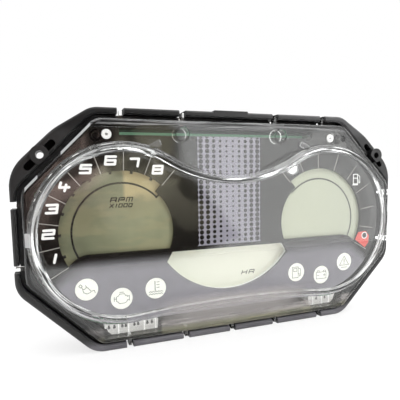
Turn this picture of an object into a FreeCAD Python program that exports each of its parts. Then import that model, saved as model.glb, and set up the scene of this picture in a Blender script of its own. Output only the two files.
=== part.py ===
import FreeCAD, Part
import math, os

# Instrument cluster: two round liquid-crystal dials and a centre read-out in a black tray,
# closed by a clear figure-of-eight lens.
# Millimetres.  X right, Y towards the back, Z up.  Everything is drawn with zero at the
# front face of the dial mask, midway between the dial centres.  Each piece is saved with
# the origin midway between the two ear holes, on the rear seating plane of the ears.
# Cutting shapes run a little past the faces they open.

os.makedirs("parts", exist_ok=True)
Vector = FreeCAD.Vector
SIDES = (-1, 1)              # left, right

# ---- dials, ears and octagonal lens outline ----
DIAL_X = 73.6                # dial centre to centreline
EAR_X = 120.0                # ear hole to centreline
EAR_Z = 48.0                 # ear hole above dial centres
EAR_SEAT_Y = 9.3             # rear seating plane of the ear bosses
EAR_HOLE_R = 2.25
EAR_BOSS_R = 5.25
EAR_BOSS_FRONT_Y = -7.5

LENS_SIDE_X = 131.0          # half width of the lens skirt
LENS_TOP_Z = 69.5
LENS_BOTTOM_Z = -67.5
DIAGONAL_TOP = 158.5         # |x| + z on the upper corners
DIAGONAL_BOTTOM = 157.5      # |x| - z on the lower corners
CORNER_R = 9.0

# ---- rear housing ----
RIM_FRONT_Y = -4.0
RIM_OUT = 6.0                # offsets outward from the lens outline
RIM_IN = 3.0
BODY_OUT = -2.8
BODY_IN = BODY_OUT - 2.5
BOARD_EDGE = BODY_IN - 0.5
RIM_TOP_Z = 76.4
RIM_BOTTOM_Z = -74.2
RIM_DIAGONAL_BOTTOM = 168.2  # |x| - z of the rim on the lower corners
RIM_CHAMFER = 1.1
CHANNEL_Y = 6.0              # floor of the channel that takes the lens skirt
FLANGE_BACK_Y = 8.5
REAR_IN_Y = 30.0             # inner and outer faces of the back wall
REAR_OUT_Y = REAR_IN_Y + 2.5
NOTCH_W = 4.4                # rim notches, one round each lens tab
NOTCH_TOP_X = [-73.2, -33.8, 33.8, 73.2]
NOTCH_BOTTOM_X = [-72.0, -34.0, 0.0, 34.0, 72.0]
NOTCH_SIDE_Z = [19.4, -17.5]

# ---- lens ----
PLATEAU_Y = -9.0             # front face outside the window rim
WINDOW_RIM_Y = -14.0
PANEL_Y = -13.2              # front face of the window
LENS_T = 2.2
SKIRT_T = 2.5
SKIRT_EDGE_R = 2.5           # rounded front edge of the skirt
WINDOW_R = 51.4              # window radius round each dial
WINDOW_TOP_Z = 31.0          # window edge on the centreline
WINDOW_BOTTOM_Z = -47.8
# window rim from the plateau upwards: outward offset, y
WINDOW_RIM_PROFILE = [(4.6, -9.0), (3.8, -9.35), (3.35, -10.2), (2.9, -11.5),
                      (2.3, -12.7), (1.5, -13.6), (0.5, WINDOW_RIM_Y)]

# ---- dial mask and lamps ----
MASK_T = 2.0
MASK_R = 55.0
MASK_NOTCH_X = (-74.0, 66.0)  # top notch that shows the board edge
RING_R = 38.7                # outer edge of the bar-graph window
LOBE_R = 33.0                # read-out lobe of the dial window
LAMP_R = 7.0
LAMPS = [(side * x, z) for x, z in [(97.3, -34.1), (76.0, -42.3), (53.7, -38.2)]
         for side in SIDES]
MASK_PEGS = [(-30, 52), (30, 52), (-30, 5), (30, 5), (-122, 12), (122, 12),
             (-30, -52), (30, -52), (-100, -46), (100, -46)]

# ---- displays, board and fixings ----
GLASS_T = 2.8
FRONT_GLASS_T = 1.4          # front plate of each two-plate display
DIAL_GLASS_Y0 = 2.2
DIAL_GLASS_Y1 = DIAL_GLASS_Y0 + GLASS_T
INFO_GLASS_Y0 = 5.2
INFO_GLASS_Y1 = INFO_GLASS_Y0 + GLASS_T
DIFFUSER_T = 1.4
DIFFUSER_Y = DIAL_GLASS_Y1 + 0.1
BOARD_Y0 = 13.0
BOARD_Y1 = BOARD_Y0 + 1.6
SCREWS = [(-121, 0), (121, 0), (-58, 50), (58, 50), (-62, -52.5), (62, -52.5), (0, 50), (0, -3)]
SCREW_R = 1.45
SCREW_PILOT_R = 1.5
SCREW_CLEAR_R = 1.8
SCREW_HEAD_BACK_Y = 6.4
CUP_R = 3.5                  # housing cups that take the lens pegs
CUP_BORE_R = 2.3
CUPS = [(side * 88.3, 60.0) for side in SIDES]
POST_R = 3.0                 # light box posts that pass through the mask
POSTS = [(side * 81.8, 60.8) for side in SIDES]

# ---- connector and vent ----
CONN_Z = 22.0
CONN_W, CONN_H = 46.0, 15.0  # pin field
SHROUD = 3.6                 # shroud outside the pin field
SHROUD_BACK_Y = 50.0
SOCKET_FLOOR_Y = REAR_OUT_Y + 1.5
HEADER_FLANGE_Y0 = 25.0
HEADER_FLANGE_Y1 = 27.6
PIN_PITCH = 4.5
PINS = [(-20.25 + PIN_PITCH * i, CONN_Z + dz) for i in range(10) for dz in (-2.5, 2.5)]
PIN_HALF_W = 0.5
VENT_X, VENT_Z = 92.0, -18.0


# ------------------------------- helpers -----------------------------------
def rounded_wire(points, radii, y):
    """Closed wire through (x, z) points at y; radii is one number or one per corner."""
    count = len(points)
    corners = []             # start, middle and end of each corner arc
    for i in range(count):
        before, here, after = points[i - 1], points[i], points[(i + 1) % count]
        radius = radii[i] if isinstance(radii, list) else radii
        corner = Vector(here[0], y, here[1])
        if radius <= 1e-6:
            corners.append((corner, None, corner))
            continue
        to_before = Vector(before[0] - here[0], 0, before[1] - here[1])
        to_after = Vector(after[0] - here[0], 0, after[1] - here[1])
        to_before.normalize()
        to_after.normalize()
        angle = math.acos(max(-1, min(1, to_before.dot(to_after))))
        setback = radius / math.tan(angle / 2)
        inward = to_before + to_after
        inward.normalize()
        centre = corner + inward * (radius / math.sin(angle / 2))
        corners.append((corner + to_before * setback, centre - inward * radius,
                        corner + to_after * setback))
    edges = []
    for i in range(count):
        start, middle, end = corners[i]
        if middle is not None:
            edges.append(Part.Arc(start, middle, end).toShape())
        following = corners[(i + 1) % count][0]
        if (following - end).Length > 1e-6:
            edges.append(Part.makeLine(end, following))
    return Part.Wire(edges)


def prism(wire, y1):
    """Solid from a flat wire back to y1."""
    return Part.Face(wire).extrude(Vector(0, y1 - wire.BoundBox.YMin, 0))


def polygon(points, y0, y1):
    return prism(rounded_wire(points, 0.0, y0), y1)


def on_side(side, points):
    """Points of a right-hand outline, mirrored for the left side."""
    return [(side * x, z) for x, z in points]


def loft(*wires):
    return Part.makeLoft(list(wires), True, True)


def box(x0, x1, y0, y1, z0, z1):
    return Part.makeBox(x1 - x0, y1 - y0, z1 - z0, Vector(x0, y0, z0))


def side_box(side, x0, x1, y0, y1, z0, z1):
    """Box given for the right side, mirrored for the left."""
    left, right = sorted((side * x0, side * x1))
    return box(left, right, y0, y1, z0, z1)


def cylinder(x, z, radius, y0, y1):
    return Part.makeCylinder(radius, y1 - y0, Vector(x, y0, z), Vector(0, 1, 0))


def cylinders(places, radius, y0, y1):
    return [cylinder(x, z, radius, y0, y1) for x, z in places]


def tube(x, z, outer_r, inner_r, y0, y1):
    return cylinder(x, z, outer_r, y0, y1).cut(cylinder(x, z, inner_r, y0 - 1, y1 + 1))


def rounded_block(x0, x1, z0, z1, radii, y0, y1):
    """Corner radii run from lower right through upper right to lower left."""
    return prism(rounded_wire([(x1, z0), (x1, z1), (x0, z1), (x0, z0)], radii, y0), y1)


def fused(first, *others):
    return first.fuse(list(others)).removeSplitter()


def octagon_wire(offset, y):
    """Lens outline moved outward by offset."""
    side, top, bottom = LENS_SIDE_X + offset, LENS_TOP_Z + offset, LENS_BOTTOM_Z - offset
    upper = DIAGONAL_TOP + offset * math.sqrt(2)
    lower = DIAGONAL_BOTTOM + offset * math.sqrt(2)
    points = [(side, upper - side), (upper - top, top), (top - upper, top),
              (-side, upper - side), (-side, side - lower), (-(lower + bottom), bottom),
              (lower + bottom, bottom), (side, side - lower)]
    return rounded_wire(points, max(CORNER_R + offset, 1.5), y)


def octagon(offset, y0, y1):
    return prism(octagon_wire(offset, y0), y1)


def eight_wire(offset, y):
    """Figure-of-eight window outline moved outward by offset."""
    radius = WINDOW_R + offset

    def waist(edge_z):
        """Tangent point and middle z of the arc that joins the two dial circles."""
        sign = 1 if edge_z > 0 else -1
        edge = abs(edge_z)
        arc_r = (edge ** 2 + DIAL_X ** 2 - WINDOW_R ** 2) / (2 * (WINDOW_R - edge))
        centre = edge + arc_r
        span = math.hypot(DIAL_X, centre)
        return (DIAL_X - radius * DIAL_X / span, sign * radius * centre / span,
                sign * (centre - (arc_r - offset)))

    top_x, top_z, top_mid = waist(WINDOW_TOP_Z)
    low_x, low_z, low_mid = waist(WINDOW_BOTTOM_Z)
    arcs = [((top_x, top_z), (DIAL_X + radius, 0), (low_x, low_z)),
            ((low_x, low_z), (0, low_mid), (-low_x, low_z)),
            ((-low_x, low_z), (-DIAL_X - radius, 0), (-top_x, top_z)),
            ((-top_x, top_z), (0, top_mid), (top_x, top_z))]
    return Part.Wire([Part.Arc(*[Vector(x, y, z) for x, z in arc]).toShape() for arc in arcs])


def connector_block(margin, radius, y0, y1):
    """Rounded block standing outside the pin field by margin."""
    half_w, half_h = CONN_W / 2 + margin, CONN_H / 2 + margin
    return rounded_block(-half_w, half_w, CONN_Z - half_h, CONN_Z + half_h, radius, y0, y1)


def save(name, shape):
    """Move a piece to the ear frame and write it."""
    moved = shape.copy()
    moved.translate(Vector(0, -EAR_SEAT_Y, -EAR_Z))
    moved.exportStep("parts/%s.step" % name)


# ------------------------------ shared outlines ----------------------------
def dial_window(side, y):
    """Bar-graph ring plus read-out lobe, cut off below by the chin line."""
    chin_z = -12.6

    def place(x, z):
        """Local x grows from the dial centre away from the centreline."""
        return Vector(side * (DIAL_X + x), y, z)

    def polar(radius, degrees):
        """Angle rises from the direction of the centreline."""
        angle = math.radians(degrees)
        return place(-radius * math.cos(angle), radius * math.sin(angle))

    step_in, step_out = polar(LOBE_R, 49.6), polar(RING_R, 49.6)
    ring_end = polar(RING_R, 210)
    chin_outer = place(21.0, chin_z)
    chin_inner = place(-math.sqrt(LOBE_R ** 2 - chin_z ** 2), chin_z)
    return Part.Wire([
        Part.makeLine(step_in, step_out),
        Part.Arc(step_out, polar(RING_R, 130), ring_end).toShape(),
        Part.Arc(ring_end, place(27.6, -14.2), chin_outer).toShape(),
        Part.makeLine(chin_outer, chin_inner),
        Part.Arc(chin_inner, polar(LOBE_R, 12), step_in).toShape()])


def info_window(y, grow=0.0):
    """Centre read-out window: flat top, short slopes, bowed bottom."""
    top_left, top_right = [Vector(s * 41.8, y, -15 + grow) for s in SIDES]
    left, right = [Vector(s * (45.6 + grow), y, -21.5) for s in SIDES]
    return Part.Wire([
        Part.makeLine(top_left, top_right),
        Part.makeLine(top_right, right),
        Part.Arc(right, Vector(0, y, -44.2 - grow), left).toShape(),
        Part.makeLine(left, top_left)])


def mask_outline(y0, y1, inset, trim):
    """Two discs joined by blocks, notched on top, trimmed to the octagon."""
    discs = [cylinder(side * DIAL_X, 0, MASK_R - inset, y0, y1) for side in SIDES]
    upper = rounded_block(-97 + inset, 97 - inset, -20, 65.0 - inset, [0, 2, 2, 0], y0, y1)
    lower = rounded_block(-DIAL_X, DIAL_X, -57.5 + inset, 0, [3, 0, 0, 3], y0, y1)
    notch = box(MASK_NOTCH_X[0] - inset, MASK_NOTCH_X[1] + inset, y0 - 1, y1 + 1,
                60.5 - inset, 70)
    holes = cylinders(CUPS, CUP_R + 0.3, y0 - 1, y1 + 1)
    return fused(*discs, upper, lower).cut([notch] + holes).common(octagon(trim, y0, y1))


def dial_glass(side, grow, y0, y1):
    right, top, left = 114 + grow, 41.5 + grow, 39 - grow
    step, bottom = -13.4 - grow, -21 - grow
    return polygon(on_side(side, [(right, 34.4 + grow), (107 + grow, top), (left, top),
                                  (left, step), (57.5, step), (65.2, bottom),
                                  (right, bottom)]), y0, y1)


def info_glass(grow, y0, y1):
    right = [(47.5 + grow, -14.2 + grow), (47.5 + grow, -29.5 - grow),
             (33.0 + grow, -47.0 - grow)]
    return polygon(right + on_side(-1, right[::-1]), y0, y1)


# ------------------------------ rear housing -------------------------------
def housing_flange():
    """Chamfered rim with both ears in its upper corners, grooved for the lens skirt."""
    side = LENS_SIDE_X + RIM_OUT
    # right half, top to bottom: x, z, corner radius
    half = [(90.6, RIM_TOP_Z, 14), (112.4, 62.9, 40), (side, 176.2 - side, 24),
            (side, side - RIM_DIAGONAL_BOTTOM, 16),
            (RIM_DIAGONAL_BOTTOM + RIM_BOTTOM_Z, RIM_BOTTOM_Z, 16)]
    corners = half + [(-x, z, radius) for x, z, radius in reversed(half)]
    outline = rounded_wire([(x, z) for x, z, radius in corners],
                           [radius for x, z, radius in corners], RIM_FRONT_Y)
    rim = prism(outline, FLANGE_BACK_Y)
    front_edges = [edge for edge in rim.Edges
                   if all(abs(v.Y - RIM_FRONT_Y) < 1e-6 for v in edge.Vertexes)]
    rim = rim.makeChamfer(RIM_CHAMFER, front_edges)
    channel = octagon(RIM_IN, RIM_FRONT_Y - 1, CHANNEL_Y)
    channel = channel.fuse(loft(octagon_wire(RIM_IN + RIM_CHAMFER + 0.2, RIM_FRONT_Y - 0.2),
                                octagon_wire(RIM_IN, RIM_FRONT_Y + RIM_CHAMFER)))
    channel = channel.cut(octagon(BODY_OUT, RIM_FRONT_Y - 2, CHANNEL_Y + 1))
    return rim.cut(channel)


def ear_slot(side, width, y0, y1):
    """Round-ended slot through the ear centre, parallel to the upper diagonal."""
    reach = 9.6
    slot = box(-reach, reach, y0, y1, -width / 2, width / 2)
    slot = slot.fuse(cylinders([(-reach, 0), (reach, 0)], width / 2, y0, y1))
    slot.rotate(Vector(0, 0, 0), Vector(0, 1, 0), 45 * side)
    slot.translate(Vector(side * EAR_X, 0, EAR_Z))
    return slot


def add_ear(housing, side):
    """Hollow the ear behind its front plate; add a walled slot and a bored boss."""
    diagonal = DIAGONAL_TOP + (RIM_OUT + 0.3) * math.sqrt(2)
    hollow = [(102.0, diagonal - 102.0), (102.0, 65.8), (110.9, 60.4), (134.2, 37.1),
              (134.2, diagonal - 134.2)]
    skirt_space = octagon(RIM_IN, -10, CHANNEL_Y)
    housing = housing.cut(polygon(on_side(side, hollow), RIM_FRONT_Y + 3.0,
                                  FLANGE_BACK_Y + 1))
    wall = ear_slot(side, 6.0, RIM_FRONT_Y + 2.8, RIM_FRONT_Y + 5.8)
    housing = housing.fuse(wall.cut(skirt_space))
    housing = housing.cut(ear_slot(side, 4.0, RIM_FRONT_Y - 1, RIM_FRONT_Y + 4.6))
    boss = cylinder(side * EAR_X, EAR_Z, EAR_BOSS_R, EAR_BOSS_FRONT_Y, EAR_SEAT_Y)
    housing = housing.fuse(boss.cut(skirt_space))
    return housing.cut(cylinder(side * EAR_X, EAR_Z, EAR_HOLE_R,
                                EAR_BOSS_FRONT_Y - 1, EAR_SEAT_Y + 1))


def rim_notches():
    half = NOTCH_W / 2
    y0, y1 = RIM_FRONT_Y - 1, FLANGE_BACK_Y + 1
    notches = [box(x - half, x + half, y0, y1, LENS_TOP_Z + RIM_IN, LENS_TOP_Z + 9)
               for x in NOTCH_TOP_X]
    notches += [box(x - half, x + half, y0, y1, LENS_BOTTOM_Z - 9, LENS_BOTTOM_Z - RIM_IN)
                for x in NOTCH_BOTTOM_X]
    notches += [side_box(side, LENS_SIDE_X + RIM_IN, LENS_SIDE_X + 9, y0, y1,
                         z - half, z + half) for z in NOTCH_SIDE_Z for side in SIDES]
    return notches


def back_ribs():
    """Stiffening ribs on the back wall."""
    y0, y1, half = REAR_OUT_Y - 0.5, REAR_OUT_Y + 1.6, 0.9
    low_z, high_z = -46, -6
    # upright ribs: x, lower z, upper z
    uprights = [(x, low_z, high_z) for x in (-108, -64, -20, 24, 68)]
    for side in SIDES:
        uprights += [(side * 62, 2, 54), (side * 98, 2, 40)]
    return ([box(-108, 70, y0, y1, z - half, z + half) for z in (high_z, low_z)]
            + [box(x - half, x + half, y0, y1, z0, z1) for x, z0, z1 in uprights])


def rear_housing():
    cavity = octagon(BODY_IN, RIM_FRONT_Y - 3, REAR_IN_Y)
    mask_space = octagon(BODY_OUT, RIM_FRONT_Y - 3, 2.1)   # inner wall stops behind the mask
    body = octagon(BODY_OUT, CHANNEL_Y, REAR_OUT_Y - 2)
    back_edge = loft(octagon_wire(BODY_OUT, REAR_OUT_Y - 2),
                     octagon_wire(BODY_OUT - 2.0, REAR_OUT_Y))
    housing = fused(housing_flange(), body, back_edge).cut(cavity).cut(mask_space)
    for side in SIDES:
        housing = add_ear(housing, side)
    housing = housing.cut(rim_notches())
    latch_pad = rounded_block(-12.3, 12.3, LENS_TOP_Z + 4.2, RIM_TOP_Z + 0.8,
                              [0, 0.6, 0.6, 0], RIM_FRONT_Y, FLANGE_BACK_Y)
    housing = housing.fuse(latch_pad)
    # lens cups, board screw bosses, land round the connector, vent boss, ribs
    added = cylinders(CUPS, CUP_R, 1.5, REAR_IN_Y + 0.5)
    added += cylinders(SCREWS, 3.6, BOARD_Y1, REAR_IN_Y + 0.5)
    added.append(connector_block(8, 6.0, REAR_OUT_Y - 0.5, REAR_OUT_Y + 1.2))
    added.append(cylinder(VENT_X, VENT_Z, 9.0, REAR_OUT_Y - 0.5, REAR_OUT_Y + 3.0))
    added += back_ribs()
    # cup bores, screw pilots, connector opening, stepped vent hole
    removed = cylinders(CUPS, CUP_BORE_R, 0, 12.0)
    removed += cylinders(SCREWS, SCREW_PILOT_R, BOARD_Y1 - 1, BOARD_Y1 + 12)
    removed.append(connector_block(SHROUD + 0.1, 5.1, REAR_IN_Y - 1, REAR_OUT_Y + 3))
    removed.append(cylinder(VENT_X, VENT_Z, 6.0, REAR_OUT_Y, REAR_OUT_Y + 4.0))
    removed.append(cylinder(VENT_X, VENT_Z, 3.2, REAR_IN_Y - 1, REAR_OUT_Y + 1))
    return housing.fuse(added).cut(removed).removeSplitter()


save("rear_housing", rear_housing())


# ------------------------------- lens cover --------------------------------
def lens_shell():
    inner_y = PLATEAU_Y + LENS_T
    edge = [octagon_wire(0, PLATEAU_Y + SKIRT_EDGE_R)]
    for step in (1, 2, 3, 4):
        angle = math.radians(22.5 * step)
        edge.append(octagon_wire(-SKIRT_EDGE_R * (1 - math.cos(angle)),
                                 PLATEAU_Y + SKIRT_EDGE_R * (1 - math.sin(angle))))
    lens = fused(octagon(0, PLATEAU_Y + SKIRT_EDGE_R, 5.0), loft(*edge))
    window_rim = loft(*[eight_wire(offset, y) for offset, y in WINDOW_RIM_PROFILE])
    foot = prism(eight_wire(WINDOW_RIM_PROFILE[0][0], PLATEAU_Y), PLATEAU_Y + 1.0)
    lens = lens.fuse([window_rim, foot])
    # recess in front of the window, inside of the skirt, hollow behind the window
    lens = lens.cut(loft(eight_wire(-0.7, WINDOW_RIM_Y), eight_wire(-1.7, PANEL_Y)))
    lens = lens.cut(octagon(-SKIRT_T, inner_y, 6.0))
    return lens.cut(loft(eight_wire(-2.0, PANEL_Y + 2.0), eight_wire(1.2, inner_y)))


def lens_details():
    """Rear tubes and pegs, front pads, and tabs that stand in the rim notches."""
    root_y = PLATEAU_Y + LENS_T - 0.3
    pad_y0, pad_y1 = PLATEAU_Y - 1.3, PLATEAU_Y + 0.5
    tab_y0, tab_y1, half, reach = RIM_FRONT_Y + 0.9, 2.3, 0.9, 5.2
    details = []
    for side, (cup_x, cup_z) in zip(SIDES, CUPS):
        details.append(tube(side * 35.5, 61.0, 5.0, 4.0, root_y, -0.4))
        details.append(cylinder(cup_x, cup_z, CUP_BORE_R - 0.1, root_y, 8.0))
        tilted_pad = box(-3.6, 3.6, pad_y0, pad_y1, -1.6, 1.6)
        tilted_pad.rotate(Vector(0, 0, 0), Vector(0, 1, 0), 28 * side)
        tilted_pad.translate(Vector(side * 53.7, 0, 54.0))
        details.append(tilted_pad)
        details.append(side_box(side, 126.9, 129.9, pad_y0, pad_y1, -3.9, 3.9))
    for x in NOTCH_TOP_X:
        details.append(box(x - half, x + half, tab_y0, tab_y1,
                           LENS_TOP_Z - 0.5, LENS_TOP_Z + reach))
    for x in NOTCH_BOTTOM_X:
        details.append(box(x - half, x + half, tab_y0, tab_y1,
                           LENS_BOTTOM_Z - reach, LENS_BOTTOM_Z + 0.5))
    for z in NOTCH_SIDE_Z:
        for side in (1, -1):
            details.append(side_box(side, LENS_SIDE_X - 0.5, LENS_SIDE_X + reach,
                                    tab_y0, tab_y1, z - half, z + half))
    return details


save("lens_cover", lens_shell().fuse(lens_details()).removeSplitter())


# ------------------------------ perimeter seal -----------------------------
def perimeter_seal():
    """Flat ring on the channel floor with a lip outside the lens skirt."""
    outer = RIM_IN - 0.02
    ring = octagon(outer, 5.0, CHANNEL_Y).cut(octagon(BODY_OUT + 0.02, 4.0, 7.0))
    return fused(ring, octagon(outer, 2.5, 5.0).cut(octagon(0.0, 1.0, 5.5)))


save("perimeter_seal", perimeter_seal())


# -------------------------------- dial mask --------------------------------
def dial_mask():
    mask = mask_outline(0, MASK_T, 0.0, -3.0)
    openings = [prism(dial_window(side, -1), MASK_T + 1) for side in SIDES]
    openings.append(prism(info_window(-1), MASK_T + 1))
    openings += cylinders(LAMPS, LAMP_R, -1, MASK_T + 1)
    openings += cylinders(POSTS, POST_R + 0.15, -1, MASK_T + 1)
    return fused(mask.cut(openings), *cylinders(MASK_PEGS, 1.2, MASK_T - 0.2, 5.0))


save("dial_mask", dial_mask())


# -------------------------------- light box --------------------------------
# right-hand outlines behind each dial glass: x, z
DIFFUSER_SEAT = [(113.2, 33.0), (108.6, 37.6), (41.5, 37.6), (41.5, -11.6), (60.0, -11.6),
                 (66, -17.2), (113.2, -17.2)]
LIGHT_WELL = [(111.8, 32.4), (108.0, 36.2), (43.0, 36.2), (43.0, -10.2), (61, -10.2),
              (67, -15.8), (111.8, -15.8)]


def light_box():
    past_back = BOARD_Y0 + 1
    block = mask_outline(MASK_T, BOARD_Y0, 0.6, BOARD_EDGE)
    removed = []
    for side in SIDES:
        removed.append(dial_glass(side, 0.3, MASK_T - 1, DIAL_GLASS_Y1))
        removed.append(polygon(on_side(side, DIFFUSER_SEAT), 3.0, DIFFUSER_Y + DIFFUSER_T))
        removed.append(polygon(on_side(side, LIGHT_WELL), 4.0, past_back))
        # slot for the elastomer strip
        removed.append(side_box(side, 42, 104.4, 4.0, past_back, 38.8, 41.2))
    removed.append(prism(info_window(1.0, 0.4), INFO_GLASS_Y0 + 1))
    removed.append(info_glass(0.3, INFO_GLASS_Y0, past_back))
    removed += cylinders(LAMPS, LAMP_R + 0.3, 1.0, 5.5)
    removed += cylinders(LAMPS, 6.0, 5.0, past_back)
    removed += cylinders(SCREWS, 3.3, 1.0, SCREW_HEAD_BACK_Y)
    removed += cylinders(SCREWS, SCREW_CLEAR_R, 1.0, past_back)
    removed += cylinders(MASK_PEGS, 1.25, 1.0, 5.4)
    # weight-saving pocket and solder relief, open to the back
    removed.append(rounded_block(-30, 30, CONN_Z - 14, CONN_Z + 14, 1.5, 9.0, past_back))
    removed.append(rounded_block(-34, 34, 38, 44, 1.0, 5.0, past_back))
    block = block.cut(removed)
    posts = [cylinder(*post, POST_R, -0.6, BOARD_Y0).cut(
             cylinder(*cup, CUP_R + 0.1, -2, past_back)) for post, cup in zip(POSTS, CUPS)]
    block = block.fuse(posts)
    return block.cut(cylinders(POSTS, 0.8, -1.0, 3.0)).removeSplitter()


save("light_box", light_box())

# ------------------------ display glasses and diffusers --------------------
# right-hand outline: x, z
DIAL_DIFFUSER = [(113.0, 32.9), (108.5, 37.4), (41.7, 37.4), (41.7, -11.4), (60.1, -11.4),
                 (66.1, -17.0), (113.0, -17.0)]
INFO_DIFFUSER_RIGHT = [(47.2, -14.5), (47.2, -29.0), (34.8, -44.2)]

# each front plate stands past its rear plate along the contact edge
for side, name in zip(SIDES, ("tach", "fuel")):
    glass = dial_glass(side, 0.0, DIAL_GLASS_Y0, DIAL_GLASS_Y1)
    save(name + "_lcd", glass.cut(box(-130, 130, DIAL_GLASS_Y0 + FRONT_GLASS_T,
                                      DIAL_GLASS_Y1 + 1, 38.7, 45)))
    save(name + "_diffuser",
         polygon(on_side(side, DIAL_DIFFUSER), DIFFUSER_Y, DIFFUSER_Y + DIFFUSER_T))

save("info_lcd", info_glass(0.0, INFO_GLASS_Y0, INFO_GLASS_Y1).cut(
    box(-60, 60, INFO_GLASS_Y0 + FRONT_GLASS_T, INFO_GLASS_Y1 + 1, -48, -44.6)))
save("info_diffuser", polygon(INFO_DIFFUSER_RIGHT + on_side(-1, INFO_DIFFUSER_RIGHT[::-1]),
                              INFO_GLASS_Y1, INFO_GLASS_Y1 + DIFFUSER_T))

# discs stand in the mask holes, almost flush, with a flange held behind
save("lamp_diffusers", Part.makeCompound([
    fused(cylinder(x, z, LAMP_R - 0.1, 0.15, 5.0), cylinder(x, z, LAMP_R + 0.2, 4.0, 5.5))
    for x, z in LAMPS]))

# strips from the contact ledges back to the board
save("elastomer_strips", Part.makeCompound(
    [side_box(side, 42.4, 104.0, DIAL_GLASS_Y0 + FRONT_GLASS_T, BOARD_Y0, 39.0, 41.0)
     for side in SIDES]
    + [box(-32.5, 32.5, INFO_GLASS_Y0 + FRONT_GLASS_T, BOARD_Y0, -46.9, -44.9)]))

# -------------------------------- light guides -----------------------------
GUIDE_LIP_Y = -1.5           # front of the guide lips


def light_guide(x0, x1, walls, rings, lip, ribs, slots):
    """Hollow block with a lip that stands forward inside the lens skirt.

    lip is an (x, z) outline; the other lists hold x positions.
    """
    guide = box(x0, x1, 2.0, BOARD_Y0, -61.4, -57.7)
    guide = guide.fuse(prism(rounded_wire(lip, 0.6, GUIDE_LIP_Y), 2.0))
    edges = [x0] + walls + [x1]
    removed = [box(left + 0.6, right - 0.6, 3.2, 11.5, -60.8, -58.3)
               for left, right in zip(edges[:-1], edges[1:])]
    for x in slots:
        removed.append(box(x - 0.6, x + 0.6, GUIDE_LIP_Y - 1.2, 0.6, -60.0, -57.0))
        removed.append(cylinder(x, -60.0, 0.6, GUIDE_LIP_Y - 1.2, 0.6))
    guide = guide.fuse([box(x - 0.3, x + 0.3, GUIDE_LIP_Y - 0.8, 2.0, -64.0, -57.9)
                        for x in ribs]).cut(removed)
    return fused(guide, *[tube(x, -59.5, 1.1, 0.5, 4.0, 11.6) for x in rings])


save("left_light_guide", light_guide(
    -87.2, -53.0,
    walls=[-80.3, -71.0, -61.4],
    rings=[-84.2, -77.6, -74.2, -67.4, -64.2, -57.2],
    lip=[(-87.2, -57.7), (-85.6, -62.2), (-83.4, -64.3), (-53.6, -64.3), (-53.0, -57.7)],
    ribs=[-79.0, -72.7, -62.4, -55.0],
    slots=[-85.0, -81.6, -76.6, -74.4, -68.8, -66.4, -60.4, -57.4]))
save("right_light_guide", light_guide(
    63.0, 87.2,
    walls=[72.6, 80.4],
    rings=[68.0, 76.4, 84.2],
    lip=[(63.0, -57.7), (63.6, -64.3), (83.0, -64.3), (85.4, -62.2), (87.2, -57.7)],
    ribs=[66.8, 74.6, 81.0],
    slots=[70.4, 78.0]))


# ------------------------- circuit board and fixings -----------------------
def pin_boxes(half, y0, y1):
    """One square bar on each connector pin."""
    return [box(x - half, x + half, y0, y1, z - half, z + half) for x, z in PINS]


def circuit_board():
    y0, y1 = BOARD_Y0 - 1, BOARD_Y1 + 1
    holes = cylinders(CUPS, CUP_R + 0.4, y0, y1) + cylinders(SCREWS, SCREW_CLEAR_R, y0, y1)
    holes += pin_boxes(PIN_HALF_W + 0.05, y0, y1)
    return octagon(BOARD_EDGE, BOARD_Y0, BOARD_Y1).cut(holes)


def board_screw(x, z):
    """Cross-slotted head at the front, shank running back."""
    long, short = 2.0, 0.4
    head = cylinder(x, z, 2.8, SCREW_HEAD_BACK_Y - 2.0, SCREW_HEAD_BACK_Y)
    head = head.cut([box(x - long, x + long, 4.0, 5.6, z - short, z + short),
                     box(x - short, x + short, 4.0, 5.6, z - long, z + long)])
    return fused(head, cylinder(x, z, SCREW_R, SCREW_HEAD_BACK_Y - 0.2, 25.0))


save("circuit_board", circuit_board())
save("board_screws", Part.makeCompound([board_screw(x, z) for x, z in SCREWS]))


# --------------------------------- connector -------------------------------
def connector_header():
    """Flanged shroud with a socket open to the back and two keyways above it."""
    header = fused(connector_block(0, 1.0, BOARD_Y1, 26.0),
                   connector_block(SHROUD + 3, 3.0, HEADER_FLANGE_Y0, HEADER_FLANGE_Y1),
                   connector_block(SHROUD, 5.0, HEADER_FLANGE_Y0, SHROUD_BACK_Y))
    header = header.cut(pin_boxes(PIN_HALF_W, BOARD_Y1 - 1, SHROUD_BACK_Y))
    socket_top = CONN_Z + CONN_H / 2
    keyways = [side_box(side, 11.6, 14.0, SOCKET_FLOOR_Y, SHROUD_BACK_Y + 1,
                        socket_top, socket_top + 2.4) for side in SIDES]
    socket = connector_block(1.4, 2.8, SOCKET_FLOOR_Y, SHROUD_BACK_Y + 1)
    return header.cut([socket] + keyways)


save("connector_header", connector_header())
save("connector_pins", Part.makeCompound(pin_boxes(PIN_HALF_W, 11.6, 45.0)))
save("connector_gasket", connector_block(SHROUD + 2.8, 3.0, HEADER_FLANGE_Y1, REAR_IN_Y).cut(
    connector_block(SHROUD + 0.02, 5.02, 26, 31)))


# ----------------------------- board components ----------------------------
def led(x, z):
    """Lamp chip on the front of the board."""
    return box(x - 1.75, x + 1.75, BOARD_Y0 - 1.9, BOARD_Y0, z - 1.4, z + 1.4)


def back_chip(x, z, width, height, thick):
    """Block on the back of the board."""
    return box(x - width / 2, x + width / 2, BOARD_Y1, BOARD_Y1 + thick,
               z - height / 2, z + height / 2)


save("lamp_leds", Part.makeCompound([led(x, z) for x, z in LAMPS]))
BACKLIGHTS = [(52, 25), (52, 0), (78, 28), (78, 4), (104, 25), (104, 0)]   # right dial
save("backlight_leds", Part.makeCompound(
    [led(side * x, z) for side in SIDES for x, z in BACKLIGHTS]
    + [led(x, -28) for x in (-36, -12, 12, 36)]))

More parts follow.
